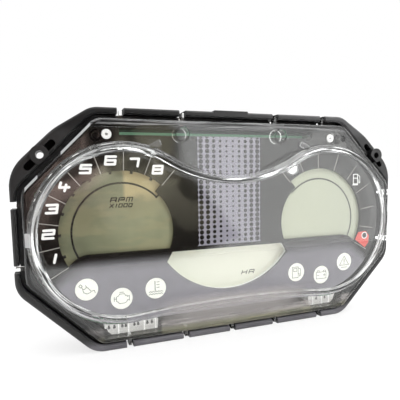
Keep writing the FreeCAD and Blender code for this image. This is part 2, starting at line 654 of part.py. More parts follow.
MCU_X, MCU_Z, MCU_W = -48.0, -22.0, 14.0
save("microcontroller", back_chip(MCU_X, MCU_Z, MCU_W, MCU_W, 1.6).cut(
    cylinder(MCU_X - 5, MCU_Z + 5, 0.7, BOARD_Y1 + 1.4, BOARD_Y1 + 2)))


def microcontroller_leads():
    """Sixteen flat leads on each of the four sides."""
    pitch, length, width, thick = 0.8, 1.6, 0.36, 0.25
    reach = MCU_W / 2 + length / 2
    leads = []
    for i in range(16):
        along = -6.0 + pitch * i
        for side in SIDES:
            leads.append(back_chip(MCU_X + side * reach, MCU_Z + along, length, width, thick))
            leads.append(back_chip(MCU_X + along, MCU_Z + side * reach, width, length, thick))
    return Part.makeCompound(leads)


save("microcontroller_leads", microcontroller_leads())
save("lcd_drivers", Part.makeCompound(
    [back_chip(x, z, 10.0, 10.0, 1.4) for x, z in [(-78.0, 20.0), (78.0, 20.0), (6.0, -26.0)]]))
save("memory_chip", back_chip(-20.0, -30.0, 5.0, 4.0, 1.5))
save("power_regulator", fused(back_chip(52.0, 38.0, 6.6, 6.1, 2.3),
                              back_chip(52.0, 42.6, 5.4, 3.2, 0.8)))
save("power_inductor", back_chip(70.0, 42.0, 10.0, 10.0, 4.5).common(
    cylinder(70.0, 42.0, 6.2, BOARD_Y1 - 1, BOARD_Y1 + 6)))
# x, z, radius, height
CAPACITORS = [(36.0, 42.0, 4.0, 10.2), (84.0, 42.0, 4.0, 10.2), (38.0, -38.0, 3.15, 5.4)]
save("filter_capacitors", Part.makeCompound(
    [cylinder(x, z, radius, BOARD_Y1, BOARD_Y1 + height)
     for x, z, radius, height in CAPACITORS]))
save("clock_crystal", rounded_block(-34.5, -23.5, -12.6, -8.0, 2.2, BOARD_Y1, BOARD_Y1 + 3.5))
save("beeper", cylinder(60.0, -28.0, 6.0, BOARD_Y1, BOARD_Y1 + 8.5).cut(
    cylinder(60.0, -28.0, 1.0, BOARD_Y1 + 7.0, BOARD_Y1 + 9)))
# two rows of six: first x, pitch, z
RESISTOR_ROWS = [(-100.0, 5.0, -36.0), (84.0, 4.0, 8.0)]
save("chip_resistors", Part.makeCompound(
    [back_chip(first_x + pitch * i, z, 1.6, 3.2, 0.6)
     for i in range(6) for first_x, pitch, z in RESISTOR_ROWS]))


# --------------------------------- vent plug -------------------------------
def vent_plug():
    """Stepped plug with a ring of six shallow holes in its rear face."""
    plug = fused(cylinder(VENT_X, VENT_Z, 5.9, REAR_OUT_Y, REAR_OUT_Y + 2.4),
                 cylinder(VENT_X, VENT_Z, 3.1, REAR_IN_Y, REAR_OUT_Y + 0.2))
    ring_r = 3.4
    holes = [(VENT_X + ring_r * math.cos(i * math.pi / 3),
              VENT_Z + ring_r * math.sin(i * math.pi / 3)) for i in range(6)]
    return plug.cut(cylinders(holes, 0.6, REAR_OUT_Y + 1.4, REAR_OUT_Y + 3))


save("vent_plug", vent_plug())
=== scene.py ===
"""Instrument cluster with a tachometer on the left and a fuel gauge on the right.

The dial frame is in millimetres: x right, y back, z up, zero on the dial face
midway between the dial centres, so the dials look towards -y.  The CAD pieces
are in metres with their origin at (0, EAR_Y, EAR_Z) of the dial frame.
"""
import math
from functools import reduce

import bpy
from mathutils import Matrix, Vector


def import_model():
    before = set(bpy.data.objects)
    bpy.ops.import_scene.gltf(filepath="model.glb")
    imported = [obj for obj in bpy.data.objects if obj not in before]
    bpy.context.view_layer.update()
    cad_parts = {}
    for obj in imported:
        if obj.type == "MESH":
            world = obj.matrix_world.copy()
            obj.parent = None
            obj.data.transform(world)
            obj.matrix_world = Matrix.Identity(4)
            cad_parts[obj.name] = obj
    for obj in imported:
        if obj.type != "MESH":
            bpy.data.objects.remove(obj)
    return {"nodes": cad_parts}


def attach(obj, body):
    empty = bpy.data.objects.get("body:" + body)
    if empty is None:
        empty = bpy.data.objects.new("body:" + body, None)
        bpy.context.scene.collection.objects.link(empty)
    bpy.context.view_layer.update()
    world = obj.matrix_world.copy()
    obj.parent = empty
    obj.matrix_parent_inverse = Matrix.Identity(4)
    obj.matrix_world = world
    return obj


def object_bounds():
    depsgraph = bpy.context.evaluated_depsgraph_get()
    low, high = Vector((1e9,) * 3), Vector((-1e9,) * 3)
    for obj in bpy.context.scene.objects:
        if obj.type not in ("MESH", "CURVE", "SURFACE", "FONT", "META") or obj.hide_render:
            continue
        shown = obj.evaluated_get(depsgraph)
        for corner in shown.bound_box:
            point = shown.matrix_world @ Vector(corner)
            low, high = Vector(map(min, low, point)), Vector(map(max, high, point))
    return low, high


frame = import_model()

CAD_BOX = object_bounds()
SCENE = bpy.context.scene

EAR_Y, EAR_Z = 9.3, 48.0
DIAL_X = 73.6             # distance of each dial centre from the middle


# ============================ shader graphs =================================
class Signal:
    """Output of a shader node; arithmetic on it adds Math nodes."""

    def __init__(self, graph, node, key=0):
        self.graph, self.node, self.socket = graph, node, node.outputs[key]

    def output(self, key):
        """Another output of the same node."""
        return Signal(self.graph, self.node, key)

    def math(self, operation, other=0.0, clamp=False):
        return self.graph.math(operation, self, other, clamp)

    def __add__(self, other):
        return self.math("ADD", other)

    def __sub__(self, other):
        return self.math("SUBTRACT", other)

    def __rsub__(self, other):
        return self.graph.math("SUBTRACT", other, self)

    def __mul__(self, other):
        return self.math("MULTIPLY", other)

    def __truediv__(self, other):
        return self.math("DIVIDE", other)

    def __pow__(self, other):
        return self.math("POWER", other)

    def __abs__(self):
        return self.math("ABSOLUTE")

    def max(self, other):
        return self.math("MAXIMUM", other)

    def fade(self, start, end, to=(0.0, 1.0)):
        """Smooth change from to[0] at start to to[1] at end; start may exceed end."""
        return self.graph.node("MapRange", {
            "Value": self, "From Min": start, "From Max": end, "To Min": to[0], "To Max": to[1],
        }, "Result", interpolation_type="SMOOTHSTEP")

    def window(self, first, second):
        """Product of two fades, each given as (start, end)."""
        return self.fade(*first) * self.fade(*second)

    def mix(self, zero, one):
        """Colour blend with this signal as the factor."""
        return self.graph.node("Mix", {0: self, 6: zero, 7: one}, 2, data_type="RGBA")

    def mix_shader(self, zero, one):
        return self.graph.node("MixShader", {0: self, 1: zero, 2: one})


class Graph:
    """Node tree of a material or world."""

    PRINCIPLED = {
        "colour": "Base Color", "rough": "Roughness", "metal": "Metallic",
        "spec": "Specular IOR Level", "coat": "Coat Weight", "coat_rough": "Coat Roughness",
        "normal": "Normal", "glow": "Emission Color", "glow_strength": "Emission Strength",
    }

    def __init__(self, owner, output="OutputMaterial"):
        owner.use_nodes = True
        self.owner, self.tree = owner, owner.node_tree
        self.tree.nodes.clear()
        self.end = self.tree.nodes.new("ShaderNode" + output)
        self.place = None

    def assign(self, socket, value):
        if isinstance(value, Signal):
            self.tree.links.new(value.socket, socket)
        elif isinstance(value, tuple):
            missing = len(socket.default_value) - len(value)
            socket.default_value = value + (1.0,) * missing
        elif value is not None:
            socket.default_value = value

    def node(self, kind, inputs=None, output=0, **settings):
        node = self.tree.nodes.new("ShaderNode" + kind)
        for name, value in settings.items():
            setattr(node, name, value)
        for key, value in (inputs or {}).items():
            self.assign(node.inputs[key], value)
        return Signal(self, node, output)

    def math(self, operation, first, second=0.0, clamp=False):
        return self.node("Math", {0: first, 1: second}, operation=operation, use_clamp=clamp)

    def position(self):
        """Position in the dial frame, in millimetres."""
        if self.place is None:
            self.place = self.node("Mapping", {
                "Vector": self.node("TexCoord", output="Object"),
                "Scale": (1000, 1000, 1000), "Location": (0, EAR_Y, EAR_Z)})
        return self.place

    def split(self, vector):
        first = self.node("SeparateXYZ", {0: vector})
        return first, first.output(1), first.output(2)

    def xyz(self):
        return self.split(self.position())

    def noise(self, scale, detail=3.0, rough=0.5, stretch=None, offset=0.0):
        """Noise over the dial frame, scale in features per millimetre."""
        vector = self.position()
        if stretch or offset:
            vector = self.node("Mapping", {
                "Vector": vector, "Scale": stretch or (1, 1, 1),
                "Location": (offset, offset * 0.7, offset * 1.3)})
        return self.node("TexNoise", {
            "Scale": scale, "Detail": detail, "Roughness": rough, "Vector": vector})

    def bump(self, height, distance, strength, base=None):
        """Normal raised by height; distance in metres."""
        return self.node("Bump", {
            "Strength": strength, "Distance": distance, "Height": height, "Normal": base})

    def bevel(self, radius):
        """Normal that rounds the edges; radius in metres."""
        return self.node("Bevel", {"Radius": radius}, samples=3)

    def principled(self, **values):
        return self.node("BsdfPrincipled",
                         {self.PRINCIPLED[key]: value for key, value in values.items()})

    def pass_light(self, shader, grey):
        """Lets shadow and diffuse rays straight through, dimmed to grey."""
        clear = self.node("BsdfTransparent", {0: (grey, grey, grey)})
        path = self.node("LightPath", output="Is Shadow Ray")
        return path.max(path.output("Is Diffuse Ray")).mix_shader(shader, clear)

    def finish(self, shader):
        self.tree.links.new(shader.socket, self.end.inputs["Surface"])
        return self.owner


def new_material(name):
    return Graph(bpy.data.materials.new(name))


def srgb(*levels):
    """Linear colour from 0-255 sRGB levels."""
    return tuple(level / 255.0 / 12.92 if level <= 10
                 else ((level / 255.0 + 0.055) / 1.055) ** 2.4 for level in levels)


def paint(material, *parts):
    for part in parts:
        for slot in frame["nodes"][part].material_slots:
            slot.link = "OBJECT"
            slot.material = material


# ============================ general materials =============================
def plastic(name, first, second, rough, spread=0.1, grain=0.00002, grain_scale=3.0,
            edge=0.0003, spec=0.5, dust=0.0):
    """Moulded part: mottled colour, varied gloss, fine grain and rubbed edges.

    spread is the gloss variation, grain and edge are in metres.
    """
    mat = new_material(name)
    colour = mat.noise(0.06, detail=4, rough=0.55).fade(0.35, 0.68).mix(first, second)
    if dust:
        specks = mat.noise(1.1, detail=6, rough=0.7, offset=13.0)
        colour = specks.fade(0.60, 0.80, to=(0.0, dust)).mix(colour, (0.42, 0.41, 0.39))
    gloss = mat.noise(0.35, detail=5, rough=0.6, offset=4.0)
    gloss = gloss.fade(0.3, 0.75, to=(max(rough - spread, 0.02), rough + spread))
    height = mat.noise(grain_scale, detail=4, rough=0.6)
    normal = mat.bump(height, grain, 0.6, mat.bevel(edge))
    return mat.finish(mat.principled(colour=colour, rough=gloss, normal=normal, spec=spec))


def metal(name, colour, rough):
    """Bare metal with faint streaks along z."""
    mat = new_material(name)
    streaks = mat.noise(1.6, detail=5, rough=0.6, stretch=(1, 1, 6))
    tint = streaks.fade(0.3, 0.7).mix(tuple(level * 0.82 for level in colour), colour)
    gloss = mat.noise(0.8, detail=4, rough=0.6, offset=7.0)
    gloss = gloss.fade(0.3, 0.7, to=(rough * 0.7, rough * 1.4))
    normal = mat.bump(streaks, 0.00001, 0.5, mat.bevel(0.0001))
    return mat.finish(mat.principled(colour=tint, rough=gloss, metal=1.0, normal=normal))


def ink(name, first, second, rough):
    """Printed ink: slightly uneven colour, varied gloss, faint orange peel."""
    mat = new_material(name)
    colour = mat.noise(0.5, detail=4, rough=0.6).fade(0.3, 0.7).mix(first, second)
    gloss = mat.noise(1.2, detail=4, rough=0.6, offset=5.0)
    gloss = gloss.fade(0.3, 0.7, to=(rough * 0.8, rough * 1.3))
    normal = mat.bump(mat.noise(2.5), 0.000008, 0.5)
    return mat.finish(mat.principled(colour=colour, rough=gloss, normal=normal))


# ============================ materials of single parts =====================
def tray_black():
    """Matt black with dust, scuffs and rubbed edges; painted sheen on the lower rim, painted
    light on the top right and painted shade in the channel round the lens.
    """
    mat = new_material("tray_black")
    x, y, z = mat.xyz()
    colour = mat.noise(0.05, detail=4, rough=0.6).fade(0.3, 0.7)
    colour = colour.mix(srgb(14, 14, 15), srgb(22, 22, 23))
    # painted sheen: the lower rim is lighter towards the bottom, unevenly
    uneven = mat.noise(0.09, stretch=(0.4, 1, 1), offset=17.0).fade(0.3, 0.7, to=(0.55, 1.0))
    lower_rim_painted_sheen = z.fade(-64.0, -71.5) * uneven
    colour = lower_rim_painted_sheen.mix(colour, srgb(102, 101, 106))
    scuffs = mat.noise(0.8, detail=7, rough=0.72, stretch=(1, 1, 0.25), offset=21.0)
    colour = scuffs.fade(0.62, 0.78, to=(0.0, 0.35)).mix(colour, srgb(92, 92, 94))
    dust = mat.noise(2.6, offset=3.0)
    colour = dust.fade(0.70, 0.78, to=(0.0, 0.45)).mix(colour, srgb(150, 149, 144))
    # painted light: the top of the rim is lighter towards the right
    top_right_painted_light = z.fade(60.0, 66.0) * x.fade(-10.0, 95.0)
    colour = (top_right_painted_light * 0.8).mix(colour, srgb(66, 66, 68))
    # painted shade: the channel round the lens is coloured near black
    channel = y.window((-2.4, -0.6), (9.0, 7.0))
    colour = channel.mix(colour, (0.0012, 0.0012, 0.0012))
    gloss = mat.noise(0.3, detail=5, rough=0.6, offset=5.0).fade(0.3, 0.7, to=(0.34, 0.52))
    normal = mat.bump(mat.noise(2.5, rough=0.6), 0.00002, 0.3, mat.bevel(0.0006))
    # less reflective in the channel and towards the top left
    top_left = z.fade(60.0, 66.0) * x.fade(0.0, -70.0, to=(0.0, 0.5))
    spec = channel.fade(0.0, 1.0, to=(0.5, 0.03)) * (1.0 - top_left)
    return mat.finish(mat.principled(colour=colour, rough=gloss, normal=normal, spec=spec))


def lens_rim(mat, x, y, z, slope):
    """Painted highlight in the sloped rim, as a milky white layer: more of it on the right and
    along the bottom.
    """
    streaks = mat.noise(0.5, rough=0.6, stretch=(0.3, 3.0, 0.3), offset=40.0)
    streaks = streaks.fade(0.3, 0.7, to=(0.5, 1.0))
    light = x.fade(-70.0, 110.0, to=(0.10, 0.66)) * z.fade(24.0, 44.0, to=(1.0, 0.45))
    light = light.max(z.fade(-30.0, -46.0, to=(0.0, 0.46)))
    # painted highlight lines, one along the front of the slope and one along its back
    patchy = mat.noise(0.06, rough=0.6, offset=70.0).fade(0.35, 0.62, to=(0.25, 1.0))
    front_line = y.window((-13.98, -13.85), (-13.35, -13.5)) * 0.75
    back_line = y.window((-9.75, -9.6), (-9.06, -9.12)) * 0.65
    light = light.max(front_line.max(back_line) * patchy)
    right_end = x.fade(112.0, 121.0) * abs(z).fade(36.0, 22.0, to=(0.0, 0.95))
    light = light.max(right_end)
    # painted parallel highlight lines along the dip of the window between the dials
    dip = x.window((-34.0, -12.0), (66.0, 54.0)) * z.fade(20.0, 24.0)
    front_line = y.window((-12.55, -12.4), (-11.85, -12.0))
    back_line = y.window((-10.95, -10.85), (-10.35, -10.5))
    light = light.max(front_line.max(back_line) * (dip * 0.85))
    # painted oval glare right of the dip
    across = (x - 45.0) / 19.0
    upward = (z - 41.5) / 10.5
    glare = (across * across + upward * upward).fade(1.1, 0.6, to=(0.0, 0.8))
    front = y.fade(-8.95, -9.1)
    return front, (slope * front) * (streaks * light.max(glare))


def lens_skirt(mat, x, y, z, slope, radius):
    """Rounded front edge of the skirt: faint painted light on the rounding, painted highlight
    streaks along the top, two painted glints upper left.
    """
    rounded = slope * y.window((-9.1, -8.95), (-6.4, -6.6))
    lines = mat.noise(0.9, detail=2, stretch=(0.03, 1.0, 1.6), offset=61.0).fade(0.50, 0.58)
    reach = y.fade(-6.0, -6.8) * x.fade(120.0, 20.0, to=(0.10, 0.36))
    streaks = (lines * z.fade(63.5, 66.0)) * reach
    inner = x.window((-108.8, -108.4), (-91.4, -91.8))
    outer = x.window((-128.8, -128.4), (-121.4, -121.8))
    band = y.window((-8.9, -8.7), (-7.3, -7.6))
    glints = (inner.max(outer) * (band * radius.fade(57.6, 58.4))) * (z.fade(22.0, 26.0) * 0.95)
    return (rounded * 0.03).max(streaks.max(glints))


def lens_painted_highlights(mat, x, y, z, side_x):
    """Painted highlights, as a milky white layer, everywhere the moulded edges and pads of the
    lens catch light.
    """
    facing = mat.split(mat.node("NewGeometry", output="True Normal"))[1]
    facing = abs(facing)
    slope = facing.window((0.985, 0.80), (0.02, 0.2))
    front, rim = lens_rim(mat, x, y, z, slope)
    radius = ((side_x - DIAL_X) ** 2.0 + z ** 2.0) ** 0.5
    skirt = lens_skirt(mat, x, y, z, slope, radius)
    end_pads = (side_x.fade(126.5, 126.9) * abs(z).fade(4.1, 3.9)) * (front * 0.85)
    # pads above the dials, outside the dial ring
    pad_area = abs(side_x - 53.7).fade(4.6, 4.4) * abs(z - 54.0).fade(3.6, 3.4)
    outside = radius.fade(55.9, 56.2)
    top_pads = pad_area * ((front * outside) * facing.fade(0.9, 0.5, to=(0.22, 0.9)))
    return rim.max(skirt).max(end_pads.max(top_pads))


def lens_specks_and_painted_reflection(mat, x, y, z, side_x):
    """Painted reflection of the table as a pale layer along the lower edge, and dust specks
    everywhere, on the front only.
    """
    uneven = mat.noise(0.3, detail=2, stretch=(0.12, 1, 1.8), offset=50.0)
    uneven = uneven.fade(0.30, 0.70, to=(0.08, 0.56))
    painted_table_reflection = (z.fade(-55.5, -59.0) * x.fade(-98.0, -60.0, to=(0.35, 1.0))) * uneven
    # the painted reflection thins in front of the two light guides
    left = x.window((-89.5, -88.0), (-51.5, -53.0))
    right = x.window((61.0, 62.5), (89.5, 88.0))
    painted_table_reflection = painted_table_reflection * (1.0 - left.max(right) * 0.8)
    # more painted reflection low in the middle, between the dials
    painted_table_reflection = painted_table_reflection.max(side_x.fade(62.0, 30.0) * z.fade(-40.5, -48.0, to=(0.0, 0.34)))
    specks = mat.noise(1.9, detail=2, offset=31.0).fade(0.74, 0.80, to=(0.0, 0.5))
    return painted_table_reflection.max(specks) * y.fade(-6.0, -6.6)


def lens_clear():
    """Polished clear lens with faint waviness, hairline scratches, dust specks, painted
    highlights and a painted reflection of the table along the lower edge.
    """
    mat = new_material("lens_clear")
    x, y, z = mat.xyz()
    side_x = abs(x)
    scratches = mat.noise(0.9, detail=4, rough=0.6, stretch=(0.12, 1, 2.4), offset=9.0)
    smears = mat.noise(0.5, detail=5, rough=0.6, offset=2.0).fade(0.62, 0.85, to=(0.0, 0.03))
    glass = mat.node("BsdfGlass", {
        "Color": (0.985, 0.99, 0.985), "IOR": 1.49,
        "Roughness": smears.max(scratches.fade(0.66, 0.72) * 0.04),
        "Normal": mat.bump(mat.noise(0.02, detail=2, rough=0.4), 0.0006, 0.25)})
    # painted highlight: milky white shader that the highlight masks mix into the glass
    painted_highlight_white = mat.node("MixShader", {
        0: 0.45,
        1: mat.principled(colour=srgb(226, 227, 228), rough=0.25, spec=0.5),
        2: mat.node("BsdfTranslucent", {0: (0.86, 0.87, 0.88)})})
    shader = lens_painted_highlights(mat, x, y, z, side_x).mix_shader(glass, painted_highlight_white)
    # colour of the painted table reflection and of the dust specks, olive further down
    specks_and_reflection_colour = z.fade(-60.5, -64.5).mix(srgb(176, 172, 170), srgb(150, 148, 126))
    specks_and_painted_reflection = mat.node("BsdfDiffuse", {0: specks_and_reflection_colour})
    shader = lens_specks_and_painted_reflection(mat, x, y, z, side_x).mix_shader(shader, specks_and_painted_reflection)
    return mat.finish(mat.pass_light(shader, grey=0.95))


def dial_print(name, silver_chin):
    """Gloss black print, with silver print below the chin line if asked."""
    mat = new_material(name)
    colour = mat.noise(0.03, rough=0.6).fade(0.35, 0.7)
    colour = colour.mix((0.010, 0.009, 0.0085), (0.017, 0.015, 0.013))
    if silver_chin:
        # the line drops towards the outer ends, following the dial windows
        x, y, z = mat.xyz()
        drop = (abs(x) - 94.0).max(0.0) ** 2.0 * 0.024
        silver = mat.noise(0.15, rough=0.6, offset=3.0).fade(0.3, 0.7)
        silver = silver.mix(srgb(122, 120, 127), srgb(128, 126, 134))
        colour = (z + drop).fade(-14.0, -27.0).mix(colour, silver)
    gloss = mat.noise(0.25, detail=4, rough=0.6, offset=8.0).fade(0.3, 0.7, to=(0.02, 0.05))
    normal = mat.bump(mat.noise(0.03, detail=1, rough=0.4), 0.0004, 0.12)
    return mat.finish(mat.principled(colour=colour, rough=gloss, normal=normal, spec=0.5))


def lcd_glass(name, left, right, span, warm_reflection=None, lean=0.0):
    """Display glass over a pale reflector; its colour changes from left to right over span,
    painted light and shade.

    lean shifts the change sideways with height; warm_reflection tints the upper right part with
    a painted warm reflection.
    """
    mat = new_material(name)
    x, y, z = mat.xyz()
    leaning = x - (z - 2.0).max(0.0) * lean
    # painted light and shade: the reflector colour changes from left to right
    blend = (leaning - span[0]).math("DIVIDE", span[1] - span[0], clamp=True)
    cloud = (mat.noise(0.035, rough=0.55, offset=2.0) - 0.5) * 0.9
    colour = blend.math("ADD", cloud, clamp=True).mix(left, right)
    if warm_reflection:
        # painted warm reflection: over the upper right, and in faint blots all over
        wobble = (mat.noise(0.08, rough=0.6, offset=19.0) - 0.5) * 9.0
        area = x.fade(-73.5, -70.5) * (z + wobble).fade(18.0, 25.0)
        colour = (area * 0.85).mix(colour, warm_reflection)
        blots = mat.noise(0.06, detail=2, stretch=(0.7, 1.0, 2.4), offset=33.0)
        colour = blots.fade(0.48, 0.62, to=(0.0, 0.16)).mix(colour, warm_reflection)
    # fine cell grid of the display
    colour = mat.noise(3.0).fade(0.3, 0.7, to=(0.0, 0.05)).mix(colour, (0.1, 0.1, 0.08))
    gloss = mat.noise(0.3, detail=4, rough=0.6, offset=6.0).fade(0.3, 0.7, to=(0.28, 0.42))
    normal = mat.bump(mat.noise(0.06, detail=2, rough=0.4), 0.0003, 0.1, mat.bevel(0.0001))
    return mat.finish(mat.principled(colour=colour, rough=gloss, coat=0.8, coat_rough=0.03,
                                     normal=normal, spec=0.2))


def lamp_white():
    """Moulded translucent disc with a faint painted glow standing in for light from the white
    box behind it.
    """
    mat = new_material("lamp_white")
    colour = mat.noise(0.3, detail=4, rough=0.6).fade(0.3, 0.7)
    colour = colour.mix(srgb(240, 242, 234), srgb(248, 250, 242))
    gloss = mat.noise(0.6, detail=4, rough=0.6, offset=4.0).fade(0.3, 0.7, to=(0.35, 0.55))
    normal = mat.bump(mat.noise(2.0, rough=0.6), 0.00001, 0.5, mat.bevel(0.0002))
    # painted glow: the disc brightened with a faint emission
    return mat.finish(mat.principled(colour=colour, rough=gloss, normal=normal,
                                     glow=(0.93, 0.95, 0.88), glow_strength=0.07))


# x of the ribs and of the bores in the two light guides; the bores share one height
RIB_X = (-79.0, -72.7, -62.4, -55.0, -87.0, 66.8, 74.6, 81.0)
BORE_X = (-85.0, -81.6, -76.6, -74.4, -68.8, -66.4, -60.4, -57.4, 70.4, 78.0)
BORE_Z = -59.9


def guide_clear():
    """Clear guide: painted highlight and painted glow along the ribs, painted shade in the
    bores, and the pockets between the ribs grey, lighter towards the top.
    """
    mat = new_material("guide_clear")
    cloudy = mat.noise(0.35, detail=4, rough=0.6).fade(0.35, 0.75, to=(0.78, 0.95))
    x, y, z = mat.xyz()

    def bore(centre):
        across = x - centre
        upward = z - BORE_Z if False else z + -BORE_Z
        return (across * across + upward * upward).fade(1.1, 0.5)

    ribs = reduce(Signal.max, [abs(x - centre).fade(0.55, 0.25) for centre in RIB_X])
    bores = reduce(Signal.max, [bore(centre) for centre in BORE_X])
    colour = z.fade(-64.2, -58.0).mix(srgb(196, 196, 192), srgb(216, 216, 214))
    # painted highlight along the ribs, which also get a painted glow below
    colour = ribs.mix(colour, srgb(253, 253, 252))
    # painted shade: dark discs at the bores
    colour = (bores * 0.9).mix(colour, srgb(38, 37, 36))
    normal = mat.bump(mat.noise(0.6), 0.0002, 0.25, mat.bevel(0.0003))
    body = mat.principled(colour=colour, rough=0.25, normal=normal, spec=0.5,
                          glow=(0.95, 0.95, 0.94), glow_strength=ribs * 0.22)
    glass = mat.node("BsdfGlass", {"Roughness": 0.08, "IOR": 1.49})
    return mat.finish(mat.pass_light(cloudy.mix_shader(glass, body), grey=0.8))


def board_green():
    """Circuit board with copper tracks and vias under the solder mask; painted light and a
    painted glow on its top edge, less towards the right.
    """
    mat = new_material("board_green")
    x, y, z = mat.xyz()
    wave = mat.node("TexWave", {
        "Scale": 0.22, "Distortion": 6.0, "Detail": 1.0, "Detail Scale": 0.25,
        "Vector": mat.position(),
    }, "Fac", wave_type="BANDS", bands_direction="DIAGONAL")
    tracks = wave.fade(0.62, 0.70)
    cells = mat.node("TexVoronoi", {"Scale": 0.16, "Vector": mat.position()},
                     "Distance", feature="F1")
    vias = cells.fade(0.10, 0.075)
    colour = tracks.mix(srgb(70, 140, 100), srgb(120, 190, 150))
    colour = (vias * 0.8).mix(colour, srgb(196, 190, 160))
    blots = mat.noise(0.05, rough=0.6).fade(0.4, 0.7, to=(0.0, 0.35))
    colour = blots.mix(colour, srgb(92, 140, 110))
    height = tracks * 0.6 + vias
    # painted light: the top edge is lighter and glowing, less towards the right
    top_edge_painted_light = z.fade(59.8, 60.8) * x.fade(50.0, 95.0, to=(1.0, 0.35))
    colour = (top_edge_painted_light * 0.7).mix(colour, srgb(150, 208, 172))
    gloss = mat.noise(0.6, detail=4, rough=0.6).fade(0.3, 0.7, to=(0.35, 0.5))
    return mat.finish(mat.principled(
        colour=colour, rough=gloss, normal=mat.bump(height, 0.00004, 0.35), spec=0.35,
        glow=(0.30, 0.62, 0.42), glow_strength=top_edge_painted_light * 0.16))


# ============================ painting the CAD parts ========================
paint(tray_black(), "rear_housing")
paint(lens_clear(), "lens_cover")
paint(plastic("seal_black", (0.008, 0.008, 0.008), (0.016, 0.016, 0.016), rough=0.8,
              spread=0.08, grain=0.00001, grain_scale=1.0, edge=0.0002, spec=0.2),
      "perimeter_seal")
paint(dial_print("mask_black", silver_chin=True), "dial_mask")
paint(plastic("frame_white", srgb(244, 246, 244), srgb(250, 251, 249), rough=0.42,
              spread=0.08), "light_box")
# painted light on the tachometer glass: dark on the left, light on the right, with a painted
# warm reflection upper right
paint(lcd_glass("lcd_glass_tach", srgb(80, 84, 66), srgb(150, 152, 122), span=(-132, -46),
                warm_reflection=srgb(186, 170, 128), lean=0.9), "tach_lcd")
paint(lcd_glass("lcd_glass_fuel", srgb(186, 191, 168), srgb(180, 185, 164), span=(40, 110)),
      "fuel_lcd")
paint(lcd_glass("lcd_glass_info", srgb(230, 234, 216), srgb(240, 242, 226), span=(-45, 15)),
      "info_lcd")
paint(plastic("diffuser_white", srgb(226, 230, 220), srgb(238, 241, 232), rough=0.5,
              grain=0.00001, grain_scale=2.0, edge=0.0002),
      "tach_diffuser", "fuel_diffuser", "info_diffuser")
paint(lamp_white(), "lamp_diffusers")
paint(plastic("strip_grey", (0.50, 0.40, 0.38), (0.60, 0.50, 0.47), rough=0.7,
              grain_scale=4.0, edge=0.0001), "elastomer_strips")
paint(guide_clear(), "left_light_guide", "right_light_guide")
paint(board_green(), "circuit_board")
paint(plastic("led_body", srgb(240, 236, 200), srgb(226, 214, 120), rough=0.25,
              spread=0.08, grain=0.00001, grain_scale=2.0, edge=0.0001),
      "lamp_leds", "backlight_leds")
paint(metal("steel_screw", (0.62, 0.62, 0.60), rough=0.28), "board_screws")
paint(plastic("connector_plastic", (0.012, 0.012, 0.012), (0.022, 0.022, 0.022), rough=0.45,
              grain=0.00003, grain_scale=4.0, edge=0.0004, dust=0.1), "connector_header")
paint(metal("pin_metal", (0.80, 0.76, 0.64), rough=0.22), "connector_pins")
paint(plastic("seal_silicone", (0.30, 0.08, 0.04), (0.38, 0.11, 0.06), rough=0.6,
              edge=0.0002), "connector_gasket")
paint(plastic("chip_black", (0.014, 0.014, 0.015), (0.022, 0.022, 0.023), rough=0.5,
              grain_scale=6.0, edge=0.0001),
      "microcontroller", "lcd_drivers", "memory_chip", "power_regulator")
paint(plastic("beeper_black", (0.010, 0.010, 0.010), (0.018, 0.018, 0.018), rough=0.35),
      "beeper")
paint(metal("lead_metal", (0.74, 0.74, 0.72), rough=0.25), "microcontroller_leads")
paint(plastic("inductor_grey", (0.06, 0.06, 0.062), (0.10, 0.10, 0.10), rough=0.6,
              grain=0.00004, grain_scale=4.0), "power_inductor")
paint(metal("can_metal", (0.80, 0.80, 0.82), rough=0.25), "filter_capacitors")
paint(metal("crystal_metal", (0.74, 0.75, 0.78), rough=0.22), "clock_crystal")
paint(plastic("resistor_dark", (0.02, 0.02, 0.024), (0.04, 0.04, 0.045), rough=0.3,
              spread=0.08, grain=0.00001, grain_scale=5.0, edge=0.0001), "chip_resistors")
paint(plastic("vent_grey", (0.03, 0.03, 0.032), (0.05, 0.05, 0.052), rough=0.55,
              grain=0.00003, grain_scale=4.0), "vent_plug")

WHITE = ink("ink_white", srgb(250, 250, 248), srgb(253, 253, 252), rough=0.35)
LINE = ink("ink_line", srgb(150, 147, 142), srgb(172, 169, 164), rough=0.35)
BLACK = ink("ink_black", (0.006, 0.006, 0.006), (0.012, 0.011, 0.010), rough=0.25)
GREY = ink("ink_grey", srgb(128, 132, 122), srgb(145, 148, 138), rough=0.4)
DARK_GREY = ink("ink_dark_grey", srgb(92, 94, 86), srgb(112, 114, 104), rough=0.4)
ARC = ink("ink_arc", srgb(52, 54, 48), srgb(66, 68, 60), rough=0.35)
SILVER = ink("ink_silver", srgb(140, 138, 150), srgb(152, 150, 162), rough=0.3)
RED = ink("ink_red", srgb(214, 70, 60), srgb(226, 84, 72), rough=0.35)

# ============================ printed graphics ==============================
INK = 0.03                # thickness of a printed layer
LAYER_STEP = 0.004        # extra thickness that keeps overlapping prints apart
FACE_Y = 0.0              # back of the print on each surface
SECOND_Y = -INK           # a second layer on the dial face
LCD_Y = 2.19
INFO_Y = 5.19
ICON_Y = 0.14
ICON_STROKE = 0.42

